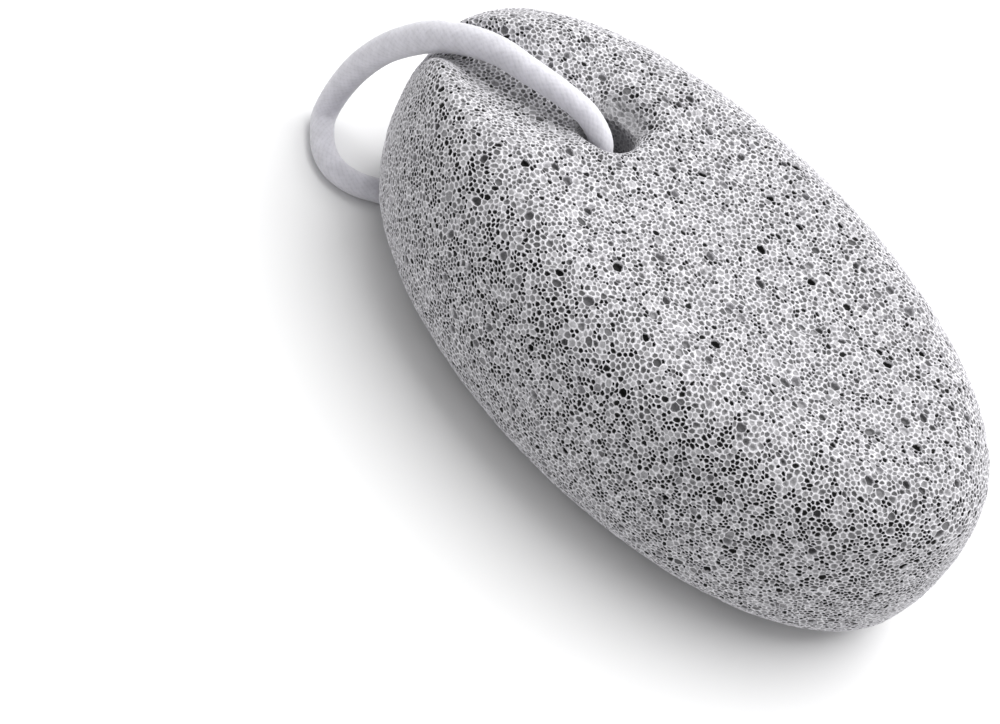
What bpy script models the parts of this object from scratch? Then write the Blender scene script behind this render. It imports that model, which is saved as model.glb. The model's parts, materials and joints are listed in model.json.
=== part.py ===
"""Oval foot-care pumice stone with a hanging loop.

The stone is one solid. It is an oval slab with a barrel-shaped side wall and
well rounded edges. A hole runs through it near one end, and a scooped groove
on each face runs from the hole out over the end, so that the loop of white
cord lies low. Larger pores are cut into the whole surface.

Frame: +X is the long axis with the hole towards -X, +Z is up, and the origin
is the centre of the flat underside. Dimensions below are in millimetres.
"""

import math

import bmesh
import bpy
import numpy as np
from mathutils import Matrix, Vector
from mathutils.bvhtree import BVHTree

MM = 0.001

# Stone
LENGTH = 100.0
WIDTH = 56.0
THICKNESS = 33.2
EDGE_RADIUS = 6.5
BARREL = 3.3            # how far the side wall leans in at the two faces
OUTLINE_SEGMENTS = 96
EDGE_SEGMENTS = 6
WALL_ROWS = 6
FACE_TRIM = 0.1         # skimmed off each face, so that both are truly flat
GRAIN_STEP = 0.8        # voxel size that rounds the lips of hole and grooves
LIP_ROUNDING = 8        # smoothing passes over those lips
KEPT_FACES = 0.041      # share of the fine faces that the finished blank keeps

# Hole
HOLE_X = -22.3
HOLE_Y = 0.6
HOLE_RADIUS = 4.2

# Balls that scoop the upper face: x, y, z and radius. One widens the hole's
# mouth, the other makes the groove's near side gentle where it meets the edge.
MOUTH_SCOOP = (-22.9, 3.6, 35.3, 5.3)
RIM_SCOOP = (-37.5, -9.2, 47.8, 16.0)

# Grooves: x, y, height of the groove's floor above the underside, radius of
# the round section there. The upper one runs over the end wall, the lower one
# bears off towards -Y and leaves the stone just above the surface it lies on.
UPPER_GROOVE = (
    (-18.5, -1.4, 34.3, 6.0),
    (-22.0, -2.2, 33.4, 6.5),
    (-25.5, -3.4, 32.1, 7.5),
    (-29.5, -4.9, 31.4, 8.2),
    (-33.5, -5.7, 30.8, 8.0),
    (-37.0, -5.6, 29.6, 7.0),
    (-40.0, -5.2, 28.6, 5.8),
    (-42.5, -4.8, 27.9, 4.4),
    (-45.0, -4.6, 26.4, 3.6),
    (-47.4, -4.8, 23.9, 3.2),
    (-49.6, -5.0, 20.3, 3.0),
    (-51.5, -5.0, 16.2, 3.0),
)
LOWER_GROOVE = (
    (-17.5, 0.5, -0.2, 3.4),
    (-21.0, -0.3, 3.0, 4.2),
    (-25.0, -1.2, 4.5, 4.8),
    (-30.0, -2.8, 4.8, 5.2),
    (-35.0, -5.0, 4.9, 5.5),
    (-39.5, -7.5, 5.1, 5.8),
    (-43.5, -10.1, 5.6, 6.0),
    (-47.5, -12.4, 6.6, 6.2),
)
GROOVE_STATIONS = 40

# Larger pores
PORE_SEED = 11
PORE_TRIES = 9000
PORE_SPACING = 5.1
PORE_RADIUS_MIN = 0.60
PORE_RADIUS_MAX = 1.05
PORE_DEPTH = 0.95       # of its own radius
PORE_FLOOR = 0.42       # floor radius, of its own radius
PORE_SIDES = 5
PORE_REACH = 1.5        # a drawn point this near the surface is used
LOOP_CLEARANCE = 8.0    # no larger pore this near the hole or a groove
REST_POINT = (12.0, 0.0)
REST_CLEARANCE = 4.0

# Cord: x, y, z and radius at each point of its route. It rises through the
# hole, crosses the end in the upper groove, drops to the surface that the
# stone lies on, turns there, and comes back in the lower groove. Its two ends
# meet inside the hole.
CORD_ROUTE = (
    (-21.2, 0.0, 16.8, 1.60),
    (-20.7, -0.1, 20.5, 1.60),
    (-20.7, -0.3, 24.5, 1.60),
    (-20.7, -0.8, 27.8, 1.60),
    (-21.1, -1.1, 30.5, 1.60),
    (-22.3, -1.3, 32.4, 1.62),
    (-25.0, -1.7, 34.0, 1.65),
    (-28.1, -2.4, 34.5, 1.70),
    (-31.4, -3.0, 34.4, 1.80),
    (-35.4, -3.5, 33.8, 1.90),
    (-39.1, -3.6, 32.9, 2.00),
    (-42.7, -4.1, 31.5, 2.10),
    (-46.1, -4.5, 29.2, 2.20),
    (-49.4, -4.8, 26.1, 2.28),
    (-52.4, -5.0, 21.9, 2.20),
    (-54.7, -5.1, 17.7, 2.10),
    (-56.6, -5.2, 12.6, 2.05),
    (-57.7, -5.5, 7.6, 1.95),
    (-57.8, -6.5, 3.9, 1.86),
    (-57.1, -8.0, 2.2, 1.80),
    (-55.7, -9.6, 1.8, 1.75),
    (-52.8, -12.0, 1.8, 1.75),
    (-49.5, -13.0, 1.8, 1.75),
    (-46.2, -12.2, 1.8, 1.75),
    (-43.2, -10.0, 1.8, 1.72),
    (-39.5, -7.2, 1.8, 1.70),
    (-35.0, -4.8, 1.8, 1.70),
    (-30.5, -2.8, 1.9, 1.68),
    (-27.0, -1.5, 2.4, 1.65),
    (-23.8, -0.7, 3.9, 1.60),
    (-21.3, -0.2, 6.6, 1.60),
    (-20.3, 0.0, 10.0, 1.60),
    (-20.6, 0.0, 13.2, 1.60),
    (-21.2, 0.0, 16.4, 1.60),
)
CORD_POINTS = 48

# Colours
STONE_GREY = (0.56, 0.56, 0.58, 1.0)
CORD_WHITE = (0.80, 0.79, 0.81, 1.0)


def clear_scene():
    """Remove every object that the file starts with."""
    for item in list(bpy.data.objects):
        bpy.data.objects.remove(item, do_unlink=True)


def collection(name):
    """Return a new collection in the scene."""
    made = bpy.data.collections.new(name)
    bpy.context.scene.collection.children.link(made)
    return made


def material(name, colour, roughness):
    """Return a plain Principled material."""
    made = bpy.data.materials.new(name)
    made.use_nodes = True
    shader = made.node_tree.nodes["Principled BSDF"]
    shader.inputs["Base Color"].default_value = colour
    shader.inputs["Roughness"].default_value = roughness
    shader.inputs["Metallic"].default_value = 0.0
    return made


def object_from(bm, name, place):
    """Turn a bmesh into an object in the given collection."""
    mesh = bpy.data.meshes.new(name)
    bm.to_mesh(mesh)
    bm.free()
    made = bpy.data.objects.new(name, mesh)
    place.objects.link(made)
    return made


def as_cutter(item):
    """Show an object as a wire, because it only shapes another one."""
    item.hide_render = True
    item.display_type = "WIRE"
    return item


def through(points, count):
    """Sample a smooth curve through the points at even arc lengths."""
    given = np.array(points, dtype=float)
    padded = np.vstack([2 * given[0] - given[1], given, 2 * given[-1] - given[-2]])
    fine = []
    for i in range(1, len(padded) - 2):
        before, start, end, after = padded[i - 1:i + 3]
        for t in np.linspace(0.0, 1.0, 24, endpoint=False):
            fine.append(0.5 * (
                2 * start + (end - before) * t
                + (2 * before - 5 * start + 4 * end - after) * t ** 2
                + (3 * start - 3 * end + after - before) * t ** 3))
    fine.append(given[-1])
    fine = np.array(fine)
    steps = np.linalg.norm(np.diff(fine[:, :3], axis=0), axis=1)
    travelled = np.concatenate([[0.0], np.cumsum(steps)])
    wanted = np.linspace(0.0, travelled[-1], count)
    columns = [np.interp(wanted, travelled, column) for column in fine.T]
    return np.stack(columns, axis=1)


def tube(name, stations, place, bevel_resolution):
    """Make a capped tube along x, y, z, radius stations given in mm."""
    curve = bpy.data.curves.new(name, "CURVE")
    curve.dimensions = "3D"
    curve.bevel_depth = MM
    curve.bevel_resolution = bevel_resolution
    curve.use_fill_caps = True
    spline = curve.splines.new("POLY")
    spline.points.add(len(stations) - 1)
    for point, (x, y, z, radius) in zip(spline.points, stations):
        point.co = (x * MM, y * MM, z * MM, 1.0)
        point.radius = radius
    made = bpy.data.objects.new(name, curve)
    place.objects.link(made)
    return made


def mesh_from_curve(item, place):
    """Replace a curve object by a closed mesh of the same shape."""
    depsgraph = bpy.context.evaluated_depsgraph_get()
    mesh = bpy.data.meshes.new_from_object(item.evaluated_get(depsgraph))
    bm = bmesh.new()
    bm.from_mesh(mesh)
    bmesh.ops.remove_doubles(bm, verts=bm.verts, dist=1e-6)
    made = object_from(bm, item.name + ".mesh", place)
    made.matrix_world = item.matrix_world
    bpy.data.objects.remove(item, do_unlink=True)
    return made


def stone_blank(place):
    """Make the uncut oval slab from a cylinder."""
    tall = THICKNESS + 2 * FACE_TRIM
    half = tall / 2
    bm = bmesh.new()
    bmesh.ops.create_cone(bm, cap_ends=True, segments=OUTLINE_SEGMENTS,
                          radius1=1.0, radius2=1.0, depth=tall)
    bmesh.ops.scale(bm, vec=(LENGTH / 2, WIDTH / 2, 1.0), verts=bm.verts)
    rims = [edge for edge in bm.edges
            if abs(edge.verts[0].co.z - edge.verts[1].co.z) < 0.1]
    bmesh.ops.bevel(bm, geom=rims, offset=EDGE_RADIUS, segments=EDGE_SEGMENTS,
                    profile=0.5, affect="EDGES")
    wall = [edge for edge in bm.edges
            if abs(edge.verts[0].co.z - edge.verts[1].co.z) > half]
    bmesh.ops.subdivide_edges(bm, edges=wall, cuts=WALL_ROWS - 1, use_grid_fill=False)
    for vert in bm.verts:
        outward = Vector((vert.co.x / (LENGTH / 2) ** 2, vert.co.y / (WIDTH / 2) ** 2, 0))
        vert.co -= outward.normalized() * BARREL * (vert.co.z / half) ** 2
        vert.co.z += THICKNESS / 2
        vert.co *= MM
    return object_from(bm, "stone", place)


def groove_cutter(name, floor, upward, place):
    """Make the round-bottomed tool that scoops one groove.

    upward is +1 where the groove opens upwards and -1 where it opens down.
    """
    stations = through(floor, GROOVE_STATIONS)
    along = np.gradient(stations[:, :3], axis=0)
    along /= np.linalg.norm(along, axis=1)[:, None]
    for station, direction in zip(stations, along):
        opening = np.array([direction[2], 0.0, -direction[0]]) * upward
        opening /= np.linalg.norm(opening)
        station[:3] += opening * station[3]
    return as_cutter(mesh_from_curve(tube(name, stations, place, 5), place))


def hole_cutter(place):
    """Make the round tool for the hole."""
    bm = bmesh.new()
    pose = Matrix.Translation((HOLE_X * MM, HOLE_Y * MM, THICKNESS / 2 * MM))
    bmesh.ops.create_cone(bm, cap_ends=True, segments=40,
                          radius1=HOLE_RADIUS * MM, radius2=HOLE_RADIUS * MM,
                          depth=2 * THICKNESS * MM, matrix=pose)
    return as_cutter(object_from(bm, "hole_cutter", place))


def ball_cutter(name, ball, place):
    """Make a ball that scoops the upper face."""
    x, y, z, radius = ball
    bm = bmesh.new()
    bmesh.ops.create_icosphere(bm, subdivisions=4, radius=radius * MM,
                               matrix=Matrix.Translation((x * MM, y * MM, z * MM)))
    return as_cutter(object_from(bm, name, place))


def slab(place):
    """Make the box between the two flat faces."""
    bm = bmesh.new()
    bmesh.ops.create_cube(bm, size=1.0)
    bmesh.ops.scale(bm, vec=(2 * LENGTH * MM, 2 * WIDTH * MM, THICKNESS * MM), verts=bm.verts)
    bmesh.ops.translate(bm, vec=(0.0, 0.0, THICKNESS / 2 * MM), verts=bm.verts)
    return as_cutter(object_from(bm, "slab", place))


def boolean(item, tool, operation):
    """Add an exact Boolean to an object."""
    step = item.modifiers.new(operation.lower() + "_" + tool.name, "BOOLEAN")
    step.operation = operation
    step.solver = "EXACT"
    step.object = tool


def round_lips(item):
    """Round what the tools cut sharp, then thin the mesh out again."""
    grain = item.modifiers.new("grain", "REMESH")
    grain.mode = "VOXEL"
    grain.voxel_size = GRAIN_STEP * MM
    soften = item.modifiers.new("soften", "SMOOTH")
    soften.factor = 0.5
    soften.iterations = LIP_ROUNDING
    thin = item.modifiers.new("thin", "DECIMATE")
    thin.ratio = KEPT_FACES


def near_loop(point):
    """Tell whether a point, in mm, is close to the hole or to a groove."""
    if math.hypot(point.x - HOLE_X, point.y - HOLE_Y) < LOOP_CLEARANCE:
        return True
    for x, y, z, radius in UPPER_GROOVE + LOWER_GROOVE:
        if math.dist(point, (x, y, z)) < LOOP_CLEARANCE:
            return True
    return False


def pore_places(surface):
    """Choose evenly spread places for the larger pores on a surface."""
    draws = np.random.default_rng(PORE_SEED).random((PORE_TRIES, 5))
    low = np.array([-LENGTH / 2 - 1, -WIDTH / 2 - 1, -1.0])
    high = np.array([LENGTH / 2 + 1, WIDTH / 2 + 1, THICKNESS + 1])
    chosen = []
    for draw in draws:
        drawn = Vector(low + (high - low) * draw[:3])
        place, normal, _, distance = surface.find_nearest(drawn * MM)
        place = place / MM
        if distance / MM > PORE_REACH or near_loop(place):
            continue
        resting = math.dist(place[:2], REST_POINT) < REST_CLEARANCE
        if resting or any((place - other[0]).length < PORE_SPACING for other in chosen):
            continue
        share = draw[3] ** 2
        radius = PORE_RADIUS_MIN + (PORE_RADIUS_MAX - PORE_RADIUS_MIN) * share
        chosen.append((place, normal, radius, draw[4]))
    return chosen


def pore_cutter(places, place_in):
    """Join one blunt cone for each larger pore into a single tool."""
    bm = bmesh.new()
    rise = 0.4
    slope = (1.0 - PORE_FLOOR) / PORE_DEPTH
    for place, normal, radius, spin in places:
        turned = normal.to_track_quat("Z", "Y").to_matrix().to_4x4()
        middle = place + normal * radius * (rise - PORE_DEPTH) / 2
        pose = (Matrix.Translation(middle * MM) @ turned
                @ Matrix.Rotation(spin * math.tau, 4, "Z"))
        bmesh.ops.create_cone(bm, cap_ends=True, segments=PORE_SIDES,
                              radius1=radius * PORE_FLOOR * MM,
                              radius2=radius * (1.0 + slope * rise) * MM,
                              depth=radius * (rise + PORE_DEPTH) * MM, matrix=pose)
    return as_cutter(object_from(bm, "pore_cutter", place_in))


def stone(parts, tools):
    """Make the finished stone."""
    made = stone_blank(parts)
    boolean(made, hole_cutter(tools), "DIFFERENCE")
    boolean(made, ball_cutter("mouth_cutter", MOUTH_SCOOP, tools), "DIFFERENCE")
    boolean(made, ball_cutter("rim_cutter", RIM_SCOOP, tools), "DIFFERENCE")
    boolean(made, groove_cutter("upper_groove", UPPER_GROOVE, 1, tools), "DIFFERENCE")
    boolean(made, groove_cutter("lower_groove", LOWER_GROOVE, -1, tools), "DIFFERENCE")
    round_lips(made)
    boolean(made, slab(tools), "INTERSECT")
    depsgraph = bpy.context.evaluated_depsgraph_get()
    surface = BVHTree.FromObject(made, depsgraph)
    boolean(made, pore_cutter(pore_places(surface), tools), "DIFFERENCE")
    made.data.materials.append(material("pumice", STONE_GREY, 0.95))
    return made


def cord(parts):
    """Make the loop as one plain tube."""
    made = tube("cord", through(CORD_ROUTE, CORD_POINTS), parts, 2)
    made.data.materials.append(material("white_cord", CORD_WHITE, 0.85))
    return made


def main():
    clear_scene()
    parts = collection("pumice_stone")
    tools = collection("cutters")
    stone(parts, tools)
    cord(parts)


main()
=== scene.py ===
"""Looks for the pumice stone with a cord loop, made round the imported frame.

The stone's skin is a net of thin walls between thousands of open pores, and the cord
is a braided tube. Both are modelled in millimetres, in the frame's own axes, and are
turned into metres when their meshes are made.
"""

import json
import math

import bmesh
import bpy
import numpy as np
from mathutils import Matrix, Vector, kdtree

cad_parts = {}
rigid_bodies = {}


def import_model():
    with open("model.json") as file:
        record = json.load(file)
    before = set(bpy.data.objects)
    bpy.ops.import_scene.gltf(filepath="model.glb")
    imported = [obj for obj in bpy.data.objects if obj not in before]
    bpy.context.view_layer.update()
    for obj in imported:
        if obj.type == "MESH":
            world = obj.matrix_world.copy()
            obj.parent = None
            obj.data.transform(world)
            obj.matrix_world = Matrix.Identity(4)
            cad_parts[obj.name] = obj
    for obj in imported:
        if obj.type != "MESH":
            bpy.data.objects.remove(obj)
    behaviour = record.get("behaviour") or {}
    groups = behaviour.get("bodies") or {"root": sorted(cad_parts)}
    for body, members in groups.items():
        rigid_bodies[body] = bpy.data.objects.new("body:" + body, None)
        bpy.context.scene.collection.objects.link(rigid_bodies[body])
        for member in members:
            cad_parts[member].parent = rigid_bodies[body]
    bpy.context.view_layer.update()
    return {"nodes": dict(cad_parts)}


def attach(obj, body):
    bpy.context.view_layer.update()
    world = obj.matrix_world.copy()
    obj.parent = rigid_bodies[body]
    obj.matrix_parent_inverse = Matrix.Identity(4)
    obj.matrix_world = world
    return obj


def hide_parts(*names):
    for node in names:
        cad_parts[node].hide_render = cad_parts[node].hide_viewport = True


MM = 0.001
CURVE_STEPS = 24        # points worked out between two given points of a curve

# Camera: where it stands, in metres, and its own back and up directions.
CAMERA_PLACE = (0.0888, -0.2960, 0.3516)
CAMERA_BACK = (0.2212, -0.6098, 0.7611)
CAMERA_UP = (-0.7014, 0.4427, 0.5586)
CAMERA_LENS = 121.2
CAMERA_SENSOR = 36.0

# Cord route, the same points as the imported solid: x, y, z and radius.
CORD_ROUTE = (
    (-21.2, 0.0, 16.8, 1.6),
    (-20.7, -0.1, 20.5, 1.6),
    (-20.7, -0.3, 24.5, 1.6),
    (-20.7, -0.8, 27.8, 1.6),
    (-21.1, -1.1, 30.5, 1.6),
    (-22.3, -1.3, 32.4, 1.62),
    (-25.0, -1.7, 34.0, 1.65),
    (-28.1, -2.4, 34.5, 1.7),
    (-31.4, -3.0, 34.4, 1.8),
    (-35.4, -3.5, 33.8, 1.9),
    (-39.1, -3.6, 32.9, 2.0),
    (-42.7, -4.1, 31.5, 2.1),
    (-46.1, -4.5, 29.2, 2.2),
    (-49.4, -4.8, 26.1, 2.28),
    (-52.4, -5.0, 21.9, 2.2),
    (-54.7, -5.1, 17.7, 2.1),
    (-56.6, -5.2, 12.6, 2.05),
    (-57.7, -5.5, 7.6, 1.95),
    (-57.8, -6.5, 3.9, 1.86),
    (-57.1, -8.0, 2.2, 1.8),
    (-55.7, -9.6, 1.8, 1.75),
    (-52.8, -12.0, 1.8, 1.75),
    (-49.5, -13.0, 1.8, 1.75),
    (-46.2, -12.2, 1.8, 1.75),
    (-43.2, -10.0, 1.8, 1.72),
    (-39.5, -7.2, 1.8, 1.7),
    (-35.0, -4.8, 1.8, 1.7),
    (-30.5, -2.8, 1.9, 1.68),
    (-27.0, -1.5, 2.4, 1.65),
    (-23.8, -0.7, 3.9, 1.6),
    (-21.3, -0.2, 6.6, 1.6),
    (-20.3, 0.0, 10.0, 1.6),
    (-20.6, 0.0, 13.2, 1.6),
    (-21.2, 0.0, 16.4, 1.6),
)
CORD_RINGS = 620
CORD_SIDES = 56
CORD_PATH_POINTS = 120
BRAID_STRANDS = 14
BRAID_TURN = 0.42           # radians that a strand turns in each millimetre
BRAID_RELIEF = 0.07
BRAID_SHARPNESS = 3.0       # how suddenly one strand goes under another

# Stone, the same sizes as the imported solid. The two scoops are balls: x, y, z, radius.
LENGTH = 100.0
WIDTH = 56.0
THICKNESS = 33.2
EDGE_RADIUS = 6.5
BARREL = 3.3
HOLE_X = -22.3
HOLE_Y = 0.6
HOLE_RADIUS = 4.2
MOUTH_SCOOP = (-22.9, 3.6, 35.3, 5.3)
RIM_SCOOP = (-37.5, -9.2, 47.8, 16.0)

# Grooves: x, y and z of each groove's floor, and the radius of its round section
# there. Each is swept with balls, which touch nothing outside the region.
GROOVE_STATIONS = 40
GROOVE_REGION_X = -10.0
GROOVE_REGION_Y = (-26.0, 14.0)
UPPER_GROOVE = (
    (-18.5, -1.4, 34.3, 6.0),
    (-22.0, -2.2, 33.4, 6.5),
    (-25.5, -3.4, 32.1, 7.5),
    (-29.5, -4.9, 31.4, 8.2),
    (-33.5, -5.7, 30.8, 8.0),
    (-37.0, -5.6, 29.6, 7.0),
    (-40.0, -5.2, 28.6, 5.8),
    (-42.5, -4.8, 27.9, 4.4),
    (-45.0, -4.6, 26.4, 3.6),
    (-47.4, -4.8, 23.9, 3.2),
    (-49.6, -5.0, 20.3, 3.0),
    (-51.5, -5.0, 16.2, 3.0),
)
LOWER_GROOVE = (
    (-17.5, 0.5, -0.2, 3.4),
    (-21.0, -0.3, 3.0, 4.2),
    (-25.0, -1.2, 4.5, 4.8),
    (-30.0, -2.8, 4.8, 5.2),
    (-35.0, -5.0, 4.9, 5.5),
    (-39.5, -7.5, 5.1, 5.8),
    (-43.5, -10.1, 5.6, 6.0),
    (-47.5, -12.4, 6.6, 6.2),
)

# Width of the rounding where each hollow meets the faces. The grooves' changes along x.
GROOVE_LIPS = ((-48.0, -40.0, -28.0, -22.0), (0.9, 3.4, 3.4, 1.2))
MOUTH_LIP = 1.5
RIM_LIP = 2.6
HOLE_LIP = 0.65

# Darts: random points in a box round the stone, of which those near the surface may
# become pores. Those in its core are dropped first, which saves the slower test.
SKIN_SEED = 23
DARTS = 1700000
DART_MARGIN = 1.0           # of the box, all round the stone
SHELL = 1.0                 # how far from the surface a dart still counts
CORE_LENGTH = 40.0          # this and the next two are half the sizes of the core
CORE_WIDTH = 18.0
CORE_HEIGHT = 9.0
HOLE_ZONE = 8.0             # round the hole's axis: no core, and no pit is looked for
GROOVE_ZONE = 8.0           # round the grooves' balls: no pit is looked for

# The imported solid's pits: how deep their floors lie at least, and how wide they are.
PIT_FLOOR = 0.55
PIT_SPAN = 1.3

# Cells: a pore's radius by its place in the row of darts, from the first to the last,
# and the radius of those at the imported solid's pits.
CELL_SHARES = (0.0, 0.002, 0.02, 0.10, 1.0)
CELL_RADII = (0.60, 0.47, 0.36, 0.30, 0.257)
PIT_CELLS = (0.46, 0.74)
CROWDING = (0.72, 1.0)      # share of its own gap that a cell may be held to
STRETCH = 0.5               # how much longer cells on the two faces are along x
SIDE_START = 0.55           # upward part of the normal where the side wall ends
SIDE_BLEND = 0.35           # and over how much more it becomes a face
LIP_DROP = 1.0              # how far under the face the hole's lip is
LIP_CELLS = ((0.6, 2.0), (0.72, 1.0))       # distance from it, and share of the size
BUCKET = 2.1                # no two cells further apart than this can touch

# Net: triangles between the cells' centres, found from each cell's neighbours.
NEIGHBOURS = 22
STAR_CHUNK = 400            # cells worked on at a time, which keeps memory low
STAR_RADIUS = 2.5           # the widest circle that a triangle may lie on
STAR_FACING = -0.3          # neighbours that face away by more are on another side
STAR_FAR = 1000.0           # where those are put, out of every circle
STEEP = 0.8                 # upward part of the normal below which a cell is steep
REPAIR_ROUNDS = 40
REPAIR_STEP = 0.10

# Walls between the pores: how far they are worn down, at random and in slow waves.
RIM_ROUGHNESS = 0.05
RIM_WAVES = 0.10

# Pores: depth as a share of the radius, and painted shade from 0, as light as the walls, to 1,
# black, which stands for the shade in their hollows. Some are flat and some painted black, narrow
# ones more often, by their width against the middle one. Pits are the pores at the imported
# solid's pits.
DEPTHS = (0.4, 1.5)
SHADES = (0.48, 0.90)
SHADE_BIAS = 1.1
SHADE_SIDE = -0.04          # added on the side wall
FLAT_SHARE = 0.05
FLAT_DEPTH = 0.1
FLAT_SHADE = 0.42
BLACK_SHARE = 0.13
BLACK_SIDE = 0.40           # added on the side wall, which darkens it: painted shade
BLACK_DEPTH = 0.55          # in millimetres
BLACK_NARROW = ((0.75, 0.95, 1.2), (2.6, 0.9, 0.3))
PIT_DEPTH = 0.98            # in millimetres
PIT_SHADES = (0.5, 0.85)
PIT_BLACK = 0.3
BOTTOM_DRIFT = 0.15         # how far off centre its deepest point is, of its radius

# Wide pores have a floor ring: its size and depth as shares of the pore's own.
WIDE_CELL = 0.50
RING_SIZE = 0.60
RING_DEPTH = 0.86
RING_INNER = 0.8

# Painted shade in the hole and in its mouth: x and y of its axis, how far from it the
# painted shade reaches, the width over which it fades there, its most, and the depth over
# which it sets in, which starts a little under the upper face.
HOLE_PAINTED_SHADES = (
    (HOLE_X, HOLE_Y, 5.16, 0.8, 1.0, 2.0),
    (MOUTH_SCOOP[0], MOUTH_SCOOP[1], 4.8, 1.8, 0.85, 1.2),
)
PAINTED_SHADE_START = 0.3
PAINTED_SHADE_SHALLOWER = 0.6        # share of a pore's depth that full painted shade takes away
PAINTED_SHADE_LIGHTER = 0.45         # and of its painted shade, as the walls round it are painted dark

# Colours: green and blue against red in the cool greys, and the black of the pores' painted shade.
COOL_GREEN = 0.988
STONE_BLUE = 1.03
CORD_BLUE = 1.06
PORE_BLACK = 0.02

# Studio: place in metres, size in metres and power in watts of the one light.
FLOOR_SIZE = 6.0
WORLD_STRENGTH = 0.52
LIGHT_PLACE = (0.10, 0.62, 1.15)
LIGHT_AIM = (0.0, 0.0, 0.015)
LIGHT_SIZE = 1.6
LIGHT_POWER = 27.6


# ---------------------------------------------------------------- small helpers


def through(points, count):
    """Evenly spaced rows on a smooth curve through the given rows."""
    given = np.array(points, dtype=float)
    first = 2 * given[0] - given[1]
    last = 2 * given[-1] - given[-2]
    padded = np.vstack([first, given, last])
    fine = []
    for i in range(1, len(padded) - 2):
        before, start, end, after = padded[i - 1:i + 3]
        for t in np.linspace(0.0, 1.0, CURVE_STEPS, endpoint=False):
            fine.append(0.5 * (
                2 * start + (end - before) * t
                + (2 * before - 5 * start + 4 * end - after) * t ** 2
                + (3 * start - 3 * end + after - before) * t ** 3))
    fine.append(given[-1])
    fine = np.array(fine)
    steps = np.linalg.norm(np.diff(fine[:, :3], axis=0), axis=1)
    travelled = np.concatenate([[0.0], np.cumsum(steps)])
    wanted = np.linspace(0.0, travelled[-1], count)
    return np.stack([np.interp(wanted, travelled, column) for column in fine.T], axis=1)


def unit(rows):
    """Rows scaled to length one."""
    return rows / np.maximum(np.linalg.norm(rows, axis=-1, keepdims=True), 1e-9)


def object_from(name, points, faces):
    """A mesh object in metres from points in millimetres."""
    mesh = bpy.data.meshes.new(name)
    mesh.from_pydata((np.asarray(points) * MM).tolist(), [], faces)
    mesh.update()
    made = bpy.data.objects.new(name, mesh)
    bpy.context.scene.collection.objects.link(made)
    return made


def add_value(made, name, values, domain="POINT"):
    """A number for each vertex or face, which materials read by name."""
    attribute = made.data.attributes.new(name, "FLOAT", domain)
    attribute.data.foreach_set("value", np.asarray(values, dtype=np.float32))


# ---------------------------------------------------------------- camera


def add_camera():
    data = bpy.data.cameras.new("camera")
    data.lens = CAMERA_LENS
    data.sensor_width = CAMERA_SENSOR
    camera = bpy.data.objects.new("camera", data)
    back = Vector(CAMERA_BACK).normalized()
    right = Vector(CAMERA_UP).cross(back).normalized()
    up = back.cross(right)
    turn = Matrix((right, up, back)).transposed().to_4x4()
    camera.matrix_world = Matrix.Translation(CAMERA_PLACE) @ turn
    bpy.context.scene.collection.objects.link(camera)
    bpy.context.scene.camera = camera


# ---------------------------------------------------------------- cord


def cord_frames(stations):
    """Two directions across the cord at each station, carried along without twist."""
    along = unit(np.gradient(stations[:, :3], axis=0))
    side = np.cross(along[0], (0.0, 1.0, 0.0))
    sides = []
    for direction in along:
        side = side - direction * np.dot(side, direction)
        side = side / np.linalg.norm(side)
        sides.append(side)
    sides = np.array(sides)
    return sides, np.cross(along, sides)


def braid_height(angle, travel):
    """How far the crossing strands of the braid stand out, from 0 to 1."""
    left = BRAID_STRANDS * (angle + BRAID_TURN * travel)
    right = BRAID_STRANDS * (angle - BRAID_TURN * travel)
    crown_left = np.abs(np.cos(left / 2))
    crown_right = np.abs(np.cos(right / 2))
    over = 0.5 + 0.5 * np.tanh(BRAID_SHARPNESS * np.sin(left / 2) * np.sin(right / 2))
    return over * crown_left + (1 - over) * crown_right


def tube_faces(rings, sides):
    """Faces of a closed tube whose points come ring by ring."""
    faces = []
    for ring in range(rings - 1):
        for k in range(sides):
            after = (k + 1) % sides
            low = ring * sides
            high = low + sides
            faces.append((low + k, low + after, high + after, high + k))
    faces.append(tuple(reversed(range(sides))))
    last = (rings - 1) * sides
    faces.append(tuple(range(last, last + sides)))
    return faces


def make_cord():
    stations = through(CORD_ROUTE, CORD_RINGS)
    sides, ups = cord_frames(stations)
    steps = np.linalg.norm(np.diff(stations[:, :3], axis=0), axis=1)
    travel = np.concatenate([[0.0], np.cumsum(steps)])
    angle = np.linspace(0.0, 2 * math.pi, CORD_SIDES, endpoint=False)
    height = braid_height(angle[None, :], travel[:, None])
    radius = stations[:, 3:4] - BRAID_RELIEF * (1 - height)
    across = (sides[:, None] * np.cos(angle)[None, :, None]
              + ups[:, None] * np.sin(angle)[None, :, None])
    points = stations[:, None, :3] + across * radius[:, :, None]
    made = object_from("cord_braid", points.reshape(-1, 3), tube_faces(CORD_RINGS, CORD_SIDES))
    # How far the strands stand out, which the cord's material turns into painted shade between
    # them.
    add_value(made, "crown", height.reshape(-1))
    made.data.shade_smooth()
    made.data.materials.append(cord_material())
    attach(made, "root")
    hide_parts("cord")
    path = through(CORD_ROUTE, CORD_PATH_POINTS)[:, :3] * MM


# ---------------------------------------------------------------- the stone's shape


def groove_balls(floor, upward):
    """Centres and radii of the balls that a groove is swept with."""
    stations = through(floor, GROOVE_STATIONS)
    along = unit(np.gradient(stations[:, :3], axis=0))
    zero = np.zeros(len(along))
    opening = unit(np.stack([along[:, 2], zero, -along[:, 0]], axis=1)) * upward
    stations[:, :3] += opening * stations[:, 3:]
    return stations


GROOVE_BALLS = np.vstack([groove_balls(UPPER_GROOVE, 1), groove_balls(LOWER_GROOVE, -1)])


def from_axis(points):
    """Distance from the hole's axis."""
    return np.hypot(points[:, 0] - HOLE_X, points[:, 1] - HOLE_Y)


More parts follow.
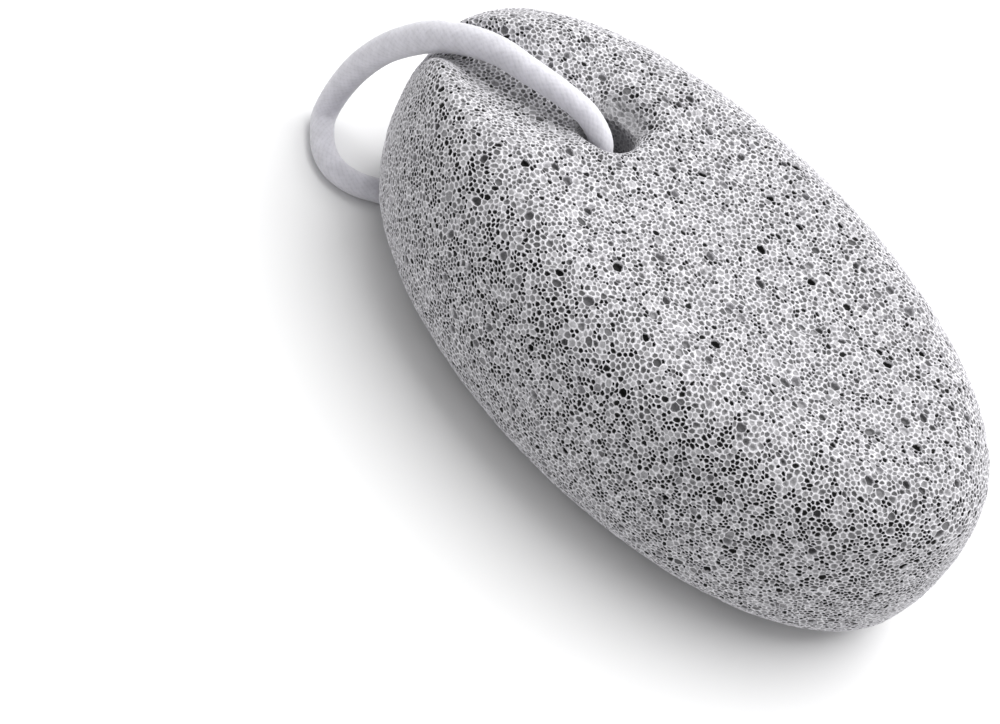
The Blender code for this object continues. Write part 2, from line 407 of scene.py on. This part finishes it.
def ellipse_distance(x, y):
    """Signed distance to the stone's oval outline, found in four rounds from the
    circle that fits the outline best near each point."""
    a = LENGTH / 2
    b = WIDTH / 2
    px = np.abs(x)
    py = np.abs(y)
    tx = np.full_like(px, math.sqrt(0.5))
    ty = tx.copy()
    for _ in range(4):
        ex = (a * a - b * b) * tx ** 3 / a
        ey = (b * b - a * a) * ty ** 3 / b
        ratio = np.hypot(a * tx - ex, b * ty - ey) / np.maximum(np.hypot(px - ex, py - ey), 1e-9)
        tx = np.clip(((px - ex) * ratio + ex) / a, 0, 1)
        ty = np.clip(((py - ey) * ratio + ey) / b, 0, 1)
        size = np.hypot(tx, ty)
        tx = tx / size
        ty = ty / size
    gap = np.hypot(px - a * tx, py - b * ty)
    return np.where((px / a) ** 2 + (py / b) ** 2 > 1, gap, -gap)


def rounded_max(first, second, width):
    """The larger of two distances, with the crease between them rounded."""
    mix = np.maximum(width - np.abs(first - second), 0.0) / width
    return np.maximum(first, second) + mix * mix * width / 4


def slab_distance(points):
    """Signed distance to the oval slab without hole and grooves."""
    x, y, z = points.T
    half = THICKNESS / 2
    rise = np.abs(z - half)
    bulge = BARREL * np.clip(rise / half, 0, 1) ** 2
    out = ellipse_distance(x, y) + bulge + EDGE_RADIUS
    above = rise - half + EDGE_RADIUS
    corner = np.hypot(np.maximum(out, 0), np.maximum(above, 0))
    return np.minimum(np.maximum(out, above), 0) + corner - EDGE_RADIUS


def groove_distance(points):
    """Signed distance to the nearest of the balls that sweep the grooves."""
    x, y, _ = points.T
    groove = np.full(len(points), THICKNESS)
    near = (x < GROOVE_REGION_X) & (y < GROOVE_REGION_Y[1]) & (y > GROOVE_REGION_Y[0])
    close = groove[near]
    for ball in GROOVE_BALLS:
        gap = np.linalg.norm(points[near] - ball[:3], axis=1) - ball[3]
        close = np.minimum(close, gap)
    groove[near] = close
    return groove


def stone_distance(points):
    """Signed distance to the stone without its pores: below zero inside."""
    lips = np.interp(points[:, 0], *GROOVE_LIPS)
    body = rounded_max(slab_distance(points), -groove_distance(points), lips)
    for ball, lip in ((MOUTH_SCOOP, MOUTH_LIP), (RIM_SCOOP, RIM_LIP)):
        scoop = np.linalg.norm(points - ball[:3], axis=1) - ball[3]
        body = rounded_max(body, -scoop, lip)
    return rounded_max(body, HOLE_RADIUS - from_axis(points), HOLE_LIP)


def outward(points, step=0.02):
    """The direction in which the distance grows fastest, with its rate."""
    slopes = []
    for axis in np.eye(3) * step:
        slopes.append((stone_distance(points + axis) - stone_distance(points - axis)) / (2 * step))
    return np.stack(slopes, axis=1)


def onto_surface(points, rounds=2):
    """Points moved onto the stone's surface, and the directions out of it."""
    for _ in range(rounds):
        slope = outward(points)
        rate = np.maximum((slope ** 2).sum(axis=1), 1e-6)
        points = points - slope * (stone_distance(points) / rate)[:, None]
    return points, unit(outward(points))


def waves(points):
    """A slow unevenness of the ground surface, from -1 to 1: two sets of wandering
    waves, about 8 to 14 mm long."""
    x, y, z = points.T
    first = np.sin(0.61 * x + 1.3 * np.sin(0.37 * y + 0.9) + 0.5 * z)
    second = np.sin(0.83 * y - 0.45 * x + 1.1 * np.sin(0.29 * x + 2.1) + 0.7 * z)
    return 0.5 * (first + second)


def hole_painted_shade(points):
    """Painted shade in the hole and its scooped mouth: how far each point is inside them, from 0
    to 1.
    """
    low = THICKNESS - PAINTED_SHADE_START - points[:, 2]
    painted_shade = np.zeros(len(points))
    for x, y, reach, fade, most, depth in HOLE_PAINTED_SHADES:
        aside = np.hypot(points[:, 0] - x, points[:, 1] - y)
        here = np.clip((reach - aside) / fade, 0, most) * np.clip(low / depth, 0, 1)
        painted_shade = np.maximum(painted_shade, here)
    return painted_shade


# ---------------------------------------------------------------- where the pores are


def packed_pits(node):
    """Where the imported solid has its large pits, in millimetres."""
    points = np.array([vertex.co for vertex in node.data.vertices]) / MM
    points = np.unique(np.round(points, 4), axis=0)
    points = points[stone_distance(points) < -PIT_FLOOR]
    gaps = np.linalg.norm(points[:, None] - GROOVE_BALLS[None, :, :3], axis=2).min(axis=1)
    points = points[(gaps > GROOVE_ZONE) & (from_axis(points) > HOLE_ZONE)]
    left = np.ones(len(points), dtype=bool)
    pits = []
    for i in range(len(points)):
        if left[i]:
            same = left & (np.linalg.norm(points - points[i], axis=1) < PIT_SPAN)
            left &= ~same
            pits.append(points[same].mean(axis=0))
    return np.array(pits)


def surface_darts(rng):
    """Points spread evenly over the stone's surface, in random order."""
    low = np.array([-LENGTH / 2, -WIDTH / 2, 0.0]) - DART_MARGIN
    high = np.array([LENGTH / 2, WIDTH / 2, THICKNESS]) + DART_MARGIN
    darts = low + (high - low) * rng.random((DARTS, 3))
    core = np.abs(darts[:, 2] - THICKNESS / 2) < CORE_HEIGHT
    core &= (darts[:, 0] / CORE_LENGTH) ** 2 + (darts[:, 1] / CORE_WIDTH) ** 2 < 1
    core &= from_axis(darts) > HOLE_ZONE
    darts = darts[~core]
    return darts[np.abs(stone_distance(darts)) < SHELL]


def spread(points, radii, stretch, crowding):
    """Indices of the points kept so that no two cells overlap by much; earlier points
    win. Stretch is how much longer each cell is along x than across, and crowding is
    its share of the gap that it would take."""
    buckets = {}
    kept = []
    around = [(a, b, c) for a in (-1, 0, 1) for b in (-1, 0, 1) for c in (-1, 0, 1)]
    homes = np.floor(points / BUCKET).astype(int).tolist()
    shares = crowding.tolist()
    stretch = stretch.tolist()
    for i, (point, radius, home) in enumerate(zip(points.tolist(), radii.tolist(), homes)):
        free = True
        for a, b, c in around:
            for other, size in buckets.get((home[0] + a, home[1] + b, home[2] + c), ()):
                gap = (((point[0] - other[0]) / stretch[i]) ** 2
                       + (point[1] - other[1]) ** 2 + (point[2] - other[2]) ** 2)
                if gap < (shares[i] * (radius + size)) ** 2:
                    free = False
                    break
            if not free:
                break
        if free:
            buckets.setdefault(tuple(home), []).append((point, radius))
            kept.append(i)
    return np.array(kept)


def choose_cells(pit_places, rng):
    """Centres, normals and radii of the pores, how much each is on the side wall, and
    how many of them, the first ones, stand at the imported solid's pits."""
    darts = surface_darts(rng)
    steps = np.linspace(0.0, 1.0, len(darts))
    radii = np.interp(steps, CELL_SHARES, CELL_RADII)
    radii = np.concatenate([rng.uniform(*PIT_CELLS, size=len(pit_places)), radii])
    points, normals = onto_surface(np.vstack([pit_places, darts]))
    below = np.minimum(points[:, 2] - THICKNESS + LIP_DROP, 0)
    lip = np.hypot(from_axis(points) - HOLE_RADIUS, below)
    radii = radii * np.interp(lip, *LIP_CELLS)
    side = 1 - np.clip((np.abs(normals[:, 2]) - SIDE_START) / SIDE_BLEND, 0, 1)
    stretch = 1 + STRETCH * (1 - side)
    crowding = rng.uniform(*CROWDING, size=len(radii))
    kept = spread(points, radii / np.sqrt(stretch), stretch, crowding)
    pits = int((kept < len(pit_places)).sum())
    return points[kept], normals[kept], radii[kept], side[kept], pits


# ---------------------------------------------------------------- the net


def nearest(points, count):
    """For each point, the indices of the points nearest to it."""
    tree = kdtree.KDTree(len(points))
    for i, point in enumerate(points.tolist()):
        tree.insert(point, i)
    tree.balance()
    found = [[hit[1] for hit in tree.find_n(point, count + 1)][1:] for point in points.tolist()]
    return np.array(found)


def flattened(points, normals, near, rows):
    """Where the points near each given one lie in the plane that touches the stone
    there, at their true distances. Those that face away are put far out."""
    others = near[rows]
    normal = normals[rows]
    steep = np.abs(normal[:, 2:]) < STEEP
    guide = np.where(steep, np.array([[0.0, 0.0, 1.0]]), np.array([[1.0, 0.0, 0.0]]))
    right = unit(np.cross(guide, normal))
    up = np.cross(normal, right)
    gap = points[others] - points[rows][:, None]
    x = (gap * right[:, None]).sum(axis=2)
    y = (gap * up[:, None]).sum(axis=2)
    stretch = np.linalg.norm(gap, axis=2) / np.maximum(np.hypot(x, y), 1e-9)
    facing = (normals[others] * normal[:, None]).sum(axis=2) > STAR_FACING
    x = np.where(facing, x * stretch, STAR_FAR)
    y = y * stretch
    return others, x, y


def star(points, normals, near, rows):
    """Triangles round each of the given points whose circle, drawn in the plane
    that touches the stone there, holds no other point."""
    count = near.shape[1]
    first, second = np.nonzero(~np.eye(count, dtype=bool))
    own = np.arange(count)[None]
    found = []
    for part in np.array_split(rows, max(1, len(rows) // STAR_CHUNK)):
        others, x, y = flattened(points, normals, near, part)
        square = x * x + y * y
        turn = 2 * (x[:, first] * y[:, second] - y[:, first] * x[:, second])
        usable = turn > 1e-6
        turn = np.where(usable, turn, 1.0)
        cx = (y[:, second] * square[:, first] - y[:, first] * square[:, second]) / turn
        cy = (x[:, first] * square[:, second] - x[:, second] * square[:, first]) / turn
        usable &= cx * cx + cy * cy < STAR_RADIUS ** 2
        row, pair = np.nonzero(usable)
        reach = x[row] * cx[row, pair][:, None] + y[row] * cy[row, pair][:, None]
        empty = square[row] - 2 * reach > -1e-9
        empty |= (own == first[pair][:, None]) | (own == second[pair][:, None])
        empty = empty.all(axis=1)
        row = row[empty]
        pair = pair[empty]
        ends = (others[row, first[pair]], others[row, second[pair]])
        found.append(np.stack([part[row], *ends], axis=1))
    return np.vstack(found)


def triangulate(points, normals, rng):
    """A closed net of triangles over the points. A triangle counts when all three of
    its points find it; points with one that doesn't are moved a little, here and in
    the given rows, until the net agrees with itself."""
    near = nearest(points, NEIGHBOURS)
    stars = star(points, normals, near, np.arange(len(points)))
    for _ in range(REPAIR_ROUNDS):
        ordered = np.sort(stars, axis=1)
        code = (ordered[:, 0] * len(points) + ordered[:, 1]) * len(points) + ordered[:, 2]
        _, place, votes = np.unique(code, return_index=True, return_counts=True)
        unsure = np.unique(ordered[place[votes != 3]])
        if len(unsure) == 0:
            break
        points[unsure] += REPAIR_STEP * rng.normal(size=(len(unsure), 3))
        points[unsure], normals[unsure] = onto_surface(points[unsure])
        touched = np.zeros(len(points), dtype=bool)
        touched[unsure] = True
        rows = np.nonzero(touched | touched[near].any(axis=1))[0]
        redone = np.zeros(len(points), dtype=bool)
        redone[rows] = True
        stars = np.vstack([stars[~redone[stars[:, 0]]], star(points, normals, near, rows)])
    return stars[place[votes == 3]]


# ---------------------------------------------------------------- the pores' walls


def rim_points(points, radii, net, rng):
    """The top of the walls: one point for each triangle of the net, nearer to its
    narrow cells, and worn down a little."""
    weight = 1 / radii[net]
    rims = (points[net] * weight[:, :, None]).sum(axis=1) / weight.sum(axis=1)[:, None]
    rims, normals = onto_surface(rims)
    sunk = RIM_ROUGHNESS * np.abs(rng.normal(size=len(rims)))
    sunk += RIM_WAVES * (0.5 + 0.5 * waves(rims))
    return rims - normals * sunk[:, None]


def cell_widths(points, rims, net):
    """How far each cell's rim is from its centre, on average."""
    owner = net.reshape(-1)
    away = np.linalg.norm(np.repeat(rims, 3, axis=0) - points[owner], axis=1)
    return np.bincount(owner, away) / np.bincount(owner)


def pore_looks(points, radii, side, width, pits, rng):
    """How deep each pore is, and its painted shade: how dark its hollow is painted. Narrow ones
    are painted black more often.
    """
    count = len(radii)
    depth = radii * rng.uniform(*DEPTHS, size=count)
    shade = SHADES[0] + (SHADES[1] - SHADES[0]) * rng.random(count) ** SHADE_BIAS
    shade = shade + SHADE_SIDE * side
    flat = rng.random(count) < FLAT_SHARE
    narrow = np.interp(width / np.median(width), *BLACK_NARROW)
    black = rng.random(count) < (BLACK_SHARE + BLACK_SIDE * side) * narrow
    depth = np.where(flat, FLAT_DEPTH * radii, depth)
    shade = np.where(flat, FLAT_SHADE, shade)
    depth = np.where(black, BLACK_DEPTH, depth)
    shade = np.where(black, 1.0, shade)
    # Painted shade in the hole: its pores are made shallower and lighter there.
    painted_shade = hole_painted_shade(points)
    depth = depth * (1 - PAINTED_SHADE_SHALLOWER * painted_shade)
    shade = shade * (1 - PAINTED_SHADE_LIGHTER * painted_shade)
    depth[:pits] = PIT_DEPTH
    shade[:pits] = np.where(rng.random(pits) < PIT_BLACK, 1.0, rng.uniform(*PIT_SHADES, size=pits))
    return depth, shade


def pore_bottoms(points, normals, radii, depth, rng):
    """The deepest point of each pore, a little off its centre."""
    drift = BOTTOM_DRIFT * radii[:, None] * rng.normal(size=points.shape)
    drift -= normals * (drift * normals).sum(axis=1)[:, None]
    return points + drift - normals * depth[:, None]


def floor_rings(points, normals, radii, depth, rims, net):
    """Points of the floor rings of the wide pores, and for each corner of the net's
    triangles the number of its ring point, or -1."""
    owner = net.reshape(-1)
    wide = radii[owner] > WIDE_CELL
    ring_of = np.full(len(owner), -1)
    ring_of[wide] = len(rims) + np.arange(wide.sum())
    owner = owner[wide]
    rim = np.repeat(rims, 3, axis=0)[wide]
    rings = points[owner] + RING_SIZE * (rim - points[owner])
    rings = rings - normals[owner] * (RING_DEPTH * depth[owner])[:, None]
    return rings, ring_of.tolist()


def pore_faces(net, ring_of, first_bottom):
    """Faces from each piece of rim down to the pore's deepest point, by way of its
    floor ring where it has one, and the pore that each face belongs to."""
    corner_of = {}
    for face, ends in enumerate(net.tolist()):
        for k in range(3):
            after = (k + 1) % 3
            corner_of[(ends[k], ends[after])] = (face, 3 * face + k, 3 * face + after)
    faces = []
    cells = []
    for (start, end), (left, at_left, _) in corner_of.items():
        if (end, start) not in corner_of:
            continue
        right, _, at_right = corner_of[(end, start)]
        bottom = first_bottom + start
        if ring_of[at_left] < 0:
            faces.append((right, left, bottom))
        else:
            faces.append((right, left, ring_of[at_left], ring_of[at_right]))
            faces.append((ring_of[at_right], ring_of[at_left], bottom))
            cells.append(start)
        cells.append(start)
    return faces, cells


def mend(made):
    """Closes what is left open where the net did not agree with itself."""
    mesh = bmesh.new()
    mesh.from_mesh(made.data)
    edges = [edge for edge in mesh.edges if len(edge.link_faces) == 1]
    if edges:
        filled = bmesh.ops.holes_fill(mesh, edges=edges, sides=0)
        bmesh.ops.triangulate(mesh, faces=filled["faces"])
    loose = [vert for vert in mesh.verts if not vert.link_faces]
    bmesh.ops.delete(mesh, geom=loose, context="VERTS")
    mesh.to_mesh(made.data)
    mesh.free()


def make_stone(node):
    """The stone's skin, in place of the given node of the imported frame."""
    rng = np.random.default_rng(SKIN_SEED)
    points, normals, radii, side, pits = choose_cells(packed_pits(node), rng)
    net = triangulate(points, normals, rng)
    rims = rim_points(points, radii, net, rng)
    width = cell_widths(points, rims, net)
    depth, shade = pore_looks(points, radii, side, width, pits, rng)
    tint = rng.random(len(radii))
    bottoms = pore_bottoms(points, normals, radii, depth, rng)
    rings, ring_of = floor_rings(points, normals, radii, depth, rims, net)
    vertices = np.vstack([rims, rings, bottoms])
    inner = [np.zeros(len(rims)), np.full(len(rings), RING_INNER), np.ones(len(bottoms))]
    faces, cells = pore_faces(net, ring_of, len(rims) + len(rings))
    made = object_from("stone_skin", vertices, faces)
    add_value(made, "inner", np.concatenate(inner))
    # Painted shade in the hole and its mouth, read by the material.
    add_value(made, "painted_hole_shade", hole_painted_shade(vertices))
    add_value(made, "shade", shade[cells], "FACE")
    add_value(made, "tint", tint[cells], "FACE")
    mend(made)
    made.data.materials.append(stone_material())
    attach(made, "root")
    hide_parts("stone")


# ---------------------------------------------------------------- materials


class Nodes:
    """A short way to lay out a material's nodes."""

    def __init__(self, name):
        self.material = bpy.data.materials.new(name)
        self.material.use_nodes = True
        self.tree = self.material.node_tree
        self.shader = self.tree.nodes["Principled BSDF"]

    def feed(self, socket, value):
        """Links a socket to another node's output, or sets it to a plain value."""
        if hasattr(value, "is_output"):
            self.tree.links.new(value, socket)
        else:
            socket.default_value = value

    def node(self, kind, inputs=None, **settings):
        made = self.tree.nodes.new(kind)
        for key, value in settings.items():
            setattr(made, key, value)
        for key, value in (inputs or {}).items():
            self.feed(made.inputs[key], value)
        return made

    def shade(self, **inputs):
        """Sets the shader's inputs, named with _ for a blank."""
        for key, value in inputs.items():
            self.feed(self.shader.inputs[key.replace("_", " ")], value)

    def place(self):
        return self.node("ShaderNodeTexCoord").outputs["Object"]

    def value(self, name):
        return self.node("ShaderNodeAttribute", attribute_name=name).outputs["Fac"]

    def noise(self, place, scale, detail):
        inputs = {"Vector": place, "Scale": scale, "Detail": detail}
        return self.node("ShaderNodeTexNoise", inputs).outputs["Fac"]

    def bump(self, height, strength, distance):
        inputs = {"Height": height, "Strength": strength, "Distance": distance}
        return self.node("ShaderNodeBump", inputs).outputs["Normal"]

    def ramp(self, value, stops):
        made = self.node("ShaderNodeValToRGB", {"Fac": value})
        for element, (position, color) in zip(made.color_ramp.elements, stops):
            element.position = position
            element.color = color
        return made.outputs["Color"]

    def mix(self, first, second, share):
        made = self.node("ShaderNodeMix", data_type="RGBA")
        for socket, value in zip((0, 6, 7), (share, first, second)):
            self.feed(made.inputs[socket], value)
        return made.outputs[2]

    def times(self, first, second):
        made = self.node("ShaderNodeMix", data_type="RGBA", blend_type="MULTIPLY")
        for socket, value in zip((0, 6, 7), (1.0, first, second)):
            self.feed(made.inputs[socket], value)
        return made.outputs[2]


def grey(value):
    return (value, value, value, 1.0)


def cool(value, blue):
    """A grey with a slight cool cast."""
    return (value, value * COOL_GREEN, value * blue, 1.0)


def stone_material():
    nodes = Nodes("pumice_stone")
    place = nodes.place()
    grain = nodes.noise(place, scale=3800.0, detail=2.0)
    cloud = nodes.noise(place, scale=60.0, detail=3.0)
    cloud = nodes.ramp(cloud, [(0.3, grey(0.92)), (0.7, grey(1.0))])
    rough = nodes.ramp(grain, [(0.35, grey(0.74)), (0.62, grey(1.0))])
    # Painted shade in the hole and its mouth: the walls there are painted down to half.
    painted_shade = nodes.ramp(nodes.value("painted_hole_shade"), [(0.0, grey(1.0)), (1.0, grey(0.5))])
    greys = [(0.0, cool(0.82, STONE_BLUE)), (1.0, cool(0.90, STONE_BLUE))]
    wall = nodes.ramp(nodes.value("tint"), greys)
    for layer in (cloud, rough, painted_shade):
        wall = nodes.times(wall, layer)
    # The walls between the pores are uneven in width.
    uneven = nodes.noise(place, scale=1700.0, detail=1.0)
    uneven = nodes.node("ShaderNodeMapRange", {"Value": uneven, "From Min": 0.3, "From Max": 0.7,
                                               "To Min": -0.14, "To Max": 0.14})
    inner = {0: nodes.value("inner"), 1: uneven.outputs["Result"]}
    inner = nodes.node("ShaderNodeMath", inner, operation="ADD")
    # Painted shade in the pores: each is painted darker from a little inside its rim, by its own
    # painted shade, down to near black.
    hollow = nodes.ramp(inner.outputs["Value"], [(0.12, grey(0.0)), (0.36, grey(1.0))])
    pore_painted_shade = nodes.times(hollow, nodes.value("shade"))
    nodes.shade(Base_Color=nodes.mix(wall, grey(PORE_BLACK), pore_painted_shade),
                Roughness=0.92,
                Specular_IOR_Level=0.25,
                Normal=nodes.bump(grain, strength=0.5, distance=0.00012))
    return nodes.material


def cord_material():
    nodes = Nodes("white_cord")
    place = nodes.place()
    # The braid is painted darker where its strands go under one another: painted shade between the
    # strands.
    greys = [(0.0, cool(0.59, CORD_BLUE)), (0.7, cool(0.68, CORD_BLUE))]
    braid_with_painted_shade = nodes.ramp(nodes.value("crown"), greys)
    worn = nodes.noise(place, scale=700.0, detail=3.0)
    worn = nodes.ramp(worn, [(0.35, grey(0.89)), (0.65, grey(1.0))])
    fibre = nodes.noise(place, scale=2600.0, detail=2.0)
    nodes.shade(Base_Color=nodes.times(braid_with_painted_shade, worn),
                Roughness=0.85,
                Subsurface_Weight=0.8,
                Subsurface_Radius=(1.0, 1.0, 1.0),
                Subsurface_Scale=0.003,
                Sheen_Weight=0.25,
                Sheen_Roughness=0.5,
                Specular_IOR_Level=0.3,
                Normal=nodes.bump(fibre, strength=0.35, distance=0.0001))
    return nodes.material


def floor_material():
    nodes = Nodes("pale_floor")
    haze = nodes.noise(nodes.place(), scale=6.0, detail=2.0)
    nodes.shade(Base_Color=nodes.ramp(haze, [(0.3, (0.88, 0.88, 0.885, 1.0)), (0.7, grey(0.9))]),
                Roughness=0.6)
    return nodes.material


# ---------------------------------------------------------------- studio


def add_floor():
    bpy.ops.mesh.primitive_plane_add(size=FLOOR_SIZE)
    floor = bpy.context.object
    floor.name = "floor"
    floor.data.materials.append(floor_material())


def add_light():
    data = bpy.data.lights.new("key", "AREA")
    data.size = LIGHT_SIZE
    data.energy = LIGHT_POWER
    light = bpy.data.objects.new("key", data)
    direction = Vector(LIGHT_AIM) - Vector(LIGHT_PLACE)
    light.location = LIGHT_PLACE
    light.rotation_euler = direction.to_track_quat("-Z", "Y").to_euler()
    bpy.context.scene.collection.objects.link(light)


def add_studio():
    world = bpy.data.worlds.new("studio")
    world.use_nodes = True
    background = world.node_tree.nodes["Background"]
    background.inputs["Color"].default_value = (1.0, 1.0, 1.0, 1.0)
    background.inputs["Strength"].default_value = WORLD_STRENGTH
    bpy.context.scene.world = world
    add_light()
    bpy.context.scene.view_settings.view_transform = "Standard"


# ---------------------------------------------------------------- build


for item in list(bpy.data.objects):
    bpy.data.objects.remove(item, do_unlink=True)
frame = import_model()
add_camera()
make_cord()
make_stone(frame["nodes"]["stone"])
add_floor()
add_studio()
